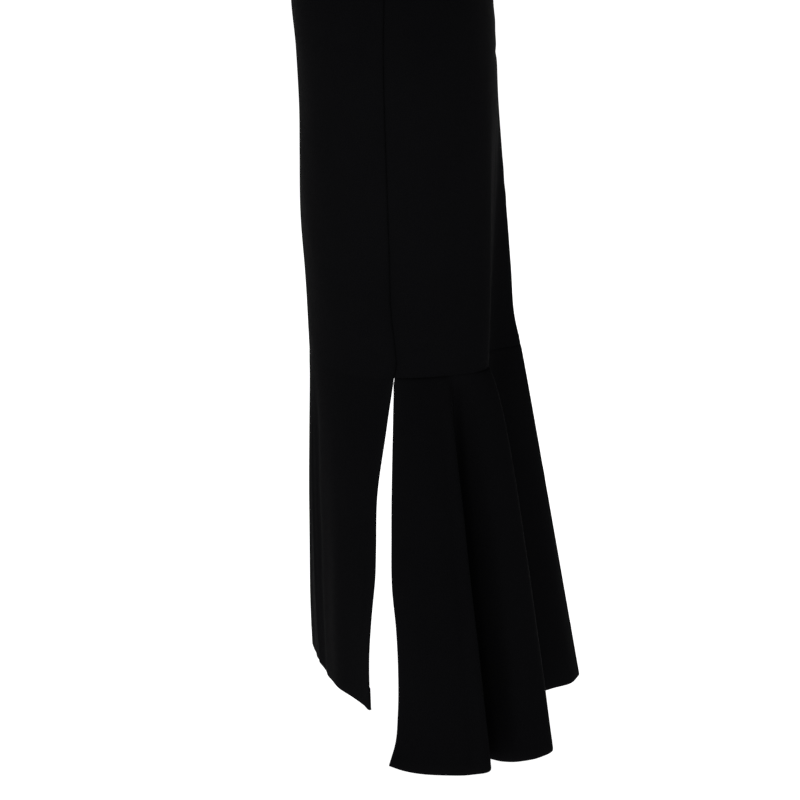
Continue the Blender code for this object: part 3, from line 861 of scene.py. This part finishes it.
def stitchRun(name, places, kind="blind"):
    # one small arched tube for each stitch, along the points that a slice of a piece's grid picks,
    # on its inner face
    face = surfaces[name]
    path, out = face["inner"][places], -face["normal"][places]
    shares = arcShares(path)
    length = np.linalg.norm(np.diff(path, axis=0), axis=1).sum()
    stitch, pitch = thread[kind]
    arch = np.array(thread["arch"]) * thread["radius"]
    parts = []
    for k in range(int(length / pitch)):
        own = (k * pitch + np.linspace(0, stitch, len(arch))) / length
        place = along(np.column_stack([path, out]), own, shares)
        middle = place[:, :3] + place[:, 3:] * arch[:, None]
        parts.append(tube(middle, thread["radius"], thread["sides"]))
    return parts


def makeHemStitches():
    # which row or column lies where each hem is caught, counted from the edge
    hem, slit = edgeSteps["hem"].index(25.0), edgeSteps["slit"].index(14.3)
    narrow = edgeSteps["narrowHem"].index(9.2)
    below = surfaces["front_cloth"]["outer"][:, 0, 2] < cut["kneeZ"] - thread["slitStart"]
    free = slice(int(np.argmax(below)), -1 - hem)
    hung = slice(2, -1 - narrow)
    places = {
        "front": [(-1 - hem, slice(slit + 1, -1 - slit)), (free, slit), (free, -1 - slit)],
        "flounce_left": [(-1 - narrow, slice(narrow + 1, None)), (hung, narrow)],
        "flounce_right": [(-1 - narrow, slice(0, -1 - narrow)), (hung, -1 - narrow)],
    }
    sewn = {}
    for node, runs in places.items():
        parts = [part for run in runs for part in stitchRun(f"{node}_cloth", run)]
        sewn[node] = [joined(f"{node}_stitches", parts)]
    return sewn


# The concealed zip in the centre-back seam, below its slider and behind the cloth.
zipLine = {
    "top": -0.0140,
    "foot": -0.2000,
    "tapeTop": -0.0016,
    "tapeFoot": -0.2130,
    "tapeEdges": (0.0100, 0.0082, 0.0060, 0.0042, 0.0033),
    "tape": 0.0005,
    "tapeGap": 0.00012,
    "tapeStep": 0.003,
    "tapeRim": 0.0001,
    "bandSeam": 0.0012,  # the seam of the waistband reaches this far up and down
    "coilX": 0.00105,
    "coilWidth": 0.00135,
    "coilDepth": 0.00085,
    "coilStandoff": 0.00125,
    "coilPitch": 0.00130,
    "wire": 0.00027,
    "turnPoints": 12,
    "stopRadius": 0.0008,
}


def behindCloth(x, z):
    # the y of the inner face of the band or the upper back, near the centre back
    side = "left" if x > 0 else "right"
    if z > -cut["bandHeight"]:
        inner = surfaces["waistband_cloth"]["inner"]
        half = inner.shape[1] // 2
        inner = inner[:, half + 1 :] if side == "left" else inner[:, :half]
    else:
        inner = surfaces[f"back_{side}_cloth"]["inner"]
    row = inner[int(np.argmin(np.abs(inner[:, -1, 2] - z)))]
    near = row[(np.abs(row[:, 0]) < 0.03) & (row[:, 1] > 0)]
    order = np.argsort(np.abs(near[:, 0]))
    return float(np.interp(abs(x), np.abs(near[order, 0]), near[order, 1]))


def wallBehind(x, heights, reach=2):
    # a smooth line just inside the cloth, which the seam of the waistband doesn't poke through
    shifts = (-zipLine["bandSeam"], 0, zipLine["bandSeam"])
    line = np.array([min(behindCloth(x, z + shift) for shift in shifts) for z in heights])
    for blend in (np.min, np.mean):
        padded = np.pad(line, reach, mode="edge")
        line = blend([padded[k : k + len(line)] for k in range(2 * reach + 1)], axis=0)
    return line


def makeTape(side):
    sign = 1 if side == "left" else -1
    heights = np.arange(zipLine["tapeTop"], zipLine["tapeFoot"], -zipLine["tapeStep"])
    edges = zipLine["tapeEdges"]
    walls = [wallBehind(sign * x, heights) for x in (edges[0], edges[2], edges[-1])]
    seated = np.min(walls, axis=0) - zipLine["tapeGap"]
    grid = np.array([[(sign * x, y, z) for x in edges] for z, y in zip(heights, seated)])
    grid = grid if side == "left" else grid[:, ::-1]
    depth = np.full(grid.shape[:2], zipLine["tape"])
    rim = np.full(depth.shape, zipLine["tapeRim"])
    name = f"zip_tape_{side}"
    tape = clothShell(name, grid, faceOut(grid), depth, rim, {})
    stitches = stitchRun(name, (slice(5, -5), 1 if side == "left" else -2), "running")
    return [tape, joined(f"zip_stitches_{side}", stitches)]


def makeCoil():
    # two helices that reach past each other's ends, half a turn apart
    turns = (zipLine["top"] - zipLine["foot"]) / zipLine["coilPitch"]
    angle = np.linspace(0, 2 * math.pi * turns, int(turns * zipLine["turnPoints"]))
    parts = []
    heights = np.linspace(zipLine["top"], zipLine["foot"], 60)
    for sign, start in ((1, 0.0), (-1, math.pi)):
        wall = wallBehind(sign * zipLine["coilX"], heights)
        z = zipLine["top"] - zipLine["coilPitch"] * angle / (2 * math.pi)
        y = np.interp(-z, -heights, wall) - zipLine["coilStandoff"]
        x = sign * (zipLine["coilX"] + zipLine["coilWidth"] * np.cos(angle + start))
        y = y + zipLine["coilDepth"] * np.sin(angle + start)
        parts.append(tube(np.stack([x, y, z], axis=1), zipLine["wire"], 5))
    y = behindCloth(zipLine["coilX"], zipLine["foot"]) - zipLine["coilStandoff"]
    reach = zipLine["coilX"] + zipLine["coilWidth"]
    across = np.linspace(-reach, reach, 9)
    swell = zipLine["stopRadius"] * np.sqrt(np.clip(1 - (across / reach) ** 6, 0.15, 1))
    stop = np.stack([across, np.full(9, y), np.full(9, zipLine["foot"])], axis=1)
    parts.append(tube(stop, swell, 12))
    return joined("zip_coil", parts)


print("cloth panels")
panels = {"front": makeFront(), "waistband": makeBand()}
for side in ("left", "right"):
    panels[f"back_{side}"] = makeBack(side)
    panels[f"flounce_{side}"] = makeFlounce(side)

print("stitches and zip")
sewnOn = makeHemStitches()
for side in ("left", "right"):
    sewnOn[f"back_{side}"] = makeTape(side)
coil = makeCoil()


class Wire:
    # a shader value that takes Python's operators

    def __init__(self, board, socket):
        self.board = board
        self.socket = socket

    def __add__(self, other):
        return self.board.maths("ADD", self, other)

    def __sub__(self, other):
        return self.board.maths("SUBTRACT", self, other)

    def __rsub__(self, other):
        return self.board.maths("SUBTRACT", other, self)

    def __mul__(self, other):
        return self.board.maths("MULTIPLY", self, other)

    __radd__ = __add__
    __rmul__ = __mul__


class Board:
    # the nodes of one material, or of the world, around its shader

    def __init__(self, owner, shader="Principled BSDF"):
        owner.use_nodes = True
        self.owner = owner
        self.tree = owner.node_tree
        self.shader = self.tree.nodes[shader]

    def plug(self, socket, value):
        if isinstance(value, Wire):
            self.tree.links.new(value.socket, socket)
        else:
            socket.default_value = value

    def add(self, kind, settings=None, inputs=None, output=0):
        node = self.tree.nodes.new("ShaderNode" + kind)
        for key, value in (settings or {}).items():
            setattr(node, key, value)
        for key, value in (inputs or {}).items():
            self.plug(node.inputs[key], value)
        return Wire(self, node.outputs[output])

    def maths(self, operation, *values):
        return self.add("Math", {"operation": operation}, dict(enumerate(values)))

    def mixed(self, factor, first, second):
        return self.add("Mix", {"data_type": "RGBA"}, {0: factor, 6: first, 7: second}, 2)

    def noise(self, place, scale, detail, roughness=0.5):
        inputs = {"Vector": place, "Scale": scale, "Detail": detail, "Roughness": roughness}
        return self.add("TexNoise", {}, inputs)

    def bumped(self, height, distance, strength):
        return self.add("Bump", {}, {"Height": height, "Distance": distance, "Strength": strength})

    def set(self, **sockets):
        for name, value in sockets.items():
            self.plug(self.shader.inputs[name.replace("_", " ")], value)
        return self.owner


def newMaterial(name):
    board = Board(bpy.data.materials.new(name))
    return board, board.add("TexCoord", output="Object")


# Each noise has its scale, detail and roughness, and each bump its distance and strength.
crepe = {
    "dark": (0.0023, 0.0023, 0.0026, 1),
    "light": (0.0042, 0.0042, 0.0047, 1),
    "worn": (0.0062, 0.0062, 0.0069, 1),
    # shaded and shade: the colour and strength of the painted shade in the bottoms of seams
    "shaded": (0.0009, 0.0009, 0.0010, 1),
    "cloud": (7.0, 3.0),
    "blotch": (55.0, 4.0, 0.6),
    "grain": (1700.0, 2.0),
    "cells": 1050.0,
    "cellShape": (1.0, 1.0, 0.42),
    "wear": 0.35,
    "shade": 0.22,
    "bump": (0.00016, 0.8),
    "roughness": 0.68,
    "gloss": 0.0025,
    "sheen": 0.003,
}


def crepeMaterial():
    board, place = newMaterial("black_crepe")
    cloud, blotch, grain = (board.noise(place, *crepe[key]) for key in ("cloud", "blotch", "grain"))
    stretched = board.add("Mapping", {}, {"Vector": place, "Scale": crepe["cellShape"]})
    weave = {"Vector": stretched, "Scale": crepe["cells"], "Randomness": 0.8}
    cells = board.add("TexVoronoi", {}, weave)
    press, paintedSeamShade = (
        board.add("Attribute", {"attribute_name": name}, output="Fac") for name in ("press", "paintedSeamShade")
    )
    tone = cloud * 0.4 + blotch * 0.25 + grain * 0.15 + cells * 0.3
    colour = board.mixed(tone, crepe["dark"], crepe["light"])
    colour = board.mixed(press * crepe["wear"], colour, crepe["worn"])
    # painted shade: the colour is darkened in the bottoms of seams
    colour = board.mixed(paintedSeamShade * crepe["shade"], colour, crepe["shaded"])
    return board.set(
        Base_Color=colour,
        Roughness=blotch * 0.12 + crepe["roughness"] - press * 0.08,
        Specular_IOR_Level=crepe["gloss"],
        Sheen_Weight=crepe["sheen"],
        Sheen_Roughness=0.30,
        Normal=board.bumped(grain * 0.6 + cells * 0.9, *crepe["bump"]),
    )


# The zip's parts and the thread are each one fine speckle: on the tape it lies over a herringbone.
finishes = {
    "black_thread": {
        "dark": (0.003, 0.003, 0.0034, 1), "light": (0.010, 0.010, 0.0112, 1),
        "speck": (4200.0, 1.0), "bump": (0.00005, 0.6),
        "roughness": 0.42, "uneven": 0.2, "gloss": 0.2,
    },
    "black_nylon": {
        "dark": (0.005, 0.005, 0.0055, 1), "light": (0.013, 0.013, 0.0145, 1),
        "speck": (1500.0, 2.0), "bump": (0.00003, 0.4),
        "roughness": 0.28, "uneven": 0.18, "gloss": 0.45,
    },
    "black_tape": {
        "dark": (0.0025, 0.0025, 0.0028, 1), "light": (0.0085, 0.0085, 0.0095, 1),
        "speck": (900.0, 2.0), "bump": (0.00012, 0.7),
        "roughness": 0.6, "uneven": 0.15, "gloss": 0.1,
        "turn": 0.0011,  # the ribs change their slant every time they have run this far sideways
        "ribs": 5200.0,
    },
}


def speckledMaterial(name):
    finish = finishes[name]
    board, place = newMaterial(name)
    speck = board.noise(place, *finish["speck"])
    tone = relief = speck
    if "ribs" in finish:
        x, z = (board.add("SeparateXYZ", {}, {"Vector": place}, axis) for axis in "XZ")
        slant = (z + board.maths("PINGPONG", x, finish["turn"])) * finish["ribs"]
        relief = board.maths("SINE", slant) * 0.5 + 0.5
        tone = relief * 0.6 + speck * 0.4
    return board.set(
        Base_Color=board.mixed(tone, finish["dark"], finish["light"]),
        Roughness=speck * finish["uneven"] + finish["roughness"],
        Specular_IOR_Level=finish["gloss"],
        Normal=board.bumped(relief, *finish["bump"]),
    )


enamel = {
    "deep": (0.0040, 0.0040, 0.0044, 1),
    "thin": (0.0085, 0.0085, 0.0095, 1),
    "brass": (0.16, 0.12, 0.055, 1),
    "peel": (1400.0, 2.0),
    "cloud": (260.0, 3.0, 0.6),
    "chips": (620.0, 4.0, 0.7),
    "scuffStart": 0.69,
    "scuffEnd": 0.74,
    "bump": (0.00004, 0.5),
    "rough": 0.36,
    "gloss": 0.09,
    "bevel": 0.00018,
    "bevelAngle": 35,  # sharper corners than this are softened
}


def enamelMaterial():
    # baked black paint with a slight orange peel, and specks of brass where it has chipped
    board, place = newMaterial("black_enamel")
    peel, cloud, chips = (board.noise(place, *enamel[key]) for key in ("peel", "cloud", "chips"))
    scuffs = {"Value": chips, "From Min": enamel["scuffStart"], "From Max": enamel["scuffEnd"]}
    bare = board.add("MapRange", {}, scuffs)
    paint = board.mixed(cloud, enamel["deep"], enamel["thin"])
    return board.set(
        Base_Color=board.mixed(bare, paint, enamel["brass"]),
        Metallic=bare,
        Roughness=cloud * 0.16 + bare * 0.1 + enamel["rough"],
        Specular_IOR_Level=enamel["gloss"],
        Normal=board.bumped(peel * 0.4 - bare, *enamel["bump"]),
    )


def finishHardware(node, material):
    # a painted casting has soft edges
    node.material_slots[0].material = material
    weld = node.modifiers.new("weld", "WELD")
    weld.merge_threshold = 1e-6
    bevel = node.modifiers.new("soft edges", "BEVEL")
    bevel.width = enamel["bevel"]
    bevel.segments = 2
    bevel.limit_method = "ANGLE"
    bevel.angle_limit = math.radians(enamel["bevelAngle"])


def dress(piece, material):
    piece.data.materials.append(material)
    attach(piece, "skirt")


print("materials")
crepeBlack, enamelBlack = crepeMaterial(), enamelMaterial()
threadBlack, tapeBlack, nylonBlack = (
    speckledMaterial(f"black_{name}") for name in ("thread", "tape", "nylon")
)
for node, panel in panels.items():
    dress(panel, crepeBlack)
    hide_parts(node)
    extras = sewnOn.get(node, [])
    for extra in extras:
        dress(extra, tapeBlack if "tape" in extra.name else threadBlack)
dress(coil, nylonBlack)
for name in ("zip_slider", "zip_tab"):
    finishHardware(bpy.data.objects[name], enamelBlack)

print("camera and light")
# The lens is long and looks a little down at the left side of the skirt.
lookout = {"azimuth": 91.5, "distance": 2.2, "height": 0.06, "pitch": 16.8, "lens": 91.52}


def makeCamera():
    turn, pitch = math.radians(lookout["azimuth"]), math.radians(lookout["pitch"])
    camera = bpy.data.objects.new("camera", bpy.data.cameras.new("camera"))
    camera.data.lens = lookout["lens"]
    camera.data.sensor_width = 36
    camera.location = (
        math.sin(turn) * lookout["distance"],
        -math.cos(turn) * lookout["distance"],
        lookout["height"],
    )
    towards = Vector(
        (-math.sin(turn) * math.cos(pitch), math.cos(turn) * math.cos(pitch), -math.sin(pitch))
    )
    camera.rotation_euler = towards.to_track_quat("-Z", "Y").to_euler()
    bpy.context.scene.collection.objects.link(camera)
    bpy.context.scene.camera = camera


studio = {
    "world": 0.22,
    "white": (1.0, 1.0, 1.0, 1.0),
    "paper": (0.85, 0.85, 0.85, 1),
    "aim": (0, 0, -0.5),
    "floorZ": -1.03,
    "floorHalf": 30.0,
    "floorGlow": 0.95,
    "lamps": [
        {"name": "front", "at": (0.3, -2.6, 0.7), "power": 2, "size": 1.5},
        {"name": "side", "at": (2.4, -0.6, 1.0), "power": 21, "size": 2.0},
        {"name": "overhead", "at": (1.2, 0.1, 2.6), "power": 6, "size": 2.4},
        {"name": "far side", "at": (-2.5, 0.4, 1.0), "power": 15, "size": 1.8},
        {"name": "back", "at": (-1.0, 2.7, 0.5), "power": 5, "size": 1.2},
    ],
}


def makeStudio():
    world = bpy.data.worlds.new("studio")
    bpy.context.scene.world = world
    air = Board(world, "Background")
    # beyond the floor's edge the backdrop is as white as the floor, but it lights the cloth softly
    seen = air.add("LightPath", output="Is Camera Ray")
    air.set(Color=studio["white"], Strength=air.maths("MAXIMUM", seen, studio["world"]))
    for lamp in studio["lamps"]:
        light = bpy.data.lights.new(lamp["name"], "AREA")
        light.energy, light.size = lamp["power"], lamp["size"]
        holder = bpy.data.objects.new(lamp["name"], light)
        holder.location = lamp["at"]
        aim = Vector(studio["aim"]) - Vector(lamp["at"])
        holder.rotation_euler = aim.to_track_quat("-Z", "Y").to_euler()
        bpy.context.scene.collection.objects.link(holder)
    half, z = studio["floorHalf"], studio["floorZ"]
    corners = [(-half, -half, z), (half, -half, z), (half, half, z), (-half, half, z)]
    floor = meshPiece("floor", corners, [(0, 1, 2, 3)])
    paper = Board(bpy.data.materials.new("white_paper"))
    floor.data.materials.append(paper.set(
        Base_Color=studio["paper"],
        Roughness=0.9,
        Specular_IOR_Level=0.1,
        Emission_Color=studio["white"],
        Emission_Strength=studio["floorGlow"],
    ))


makeCamera()
makeStudio()
bpy.context.scene.view_settings.view_transform = "Standard"
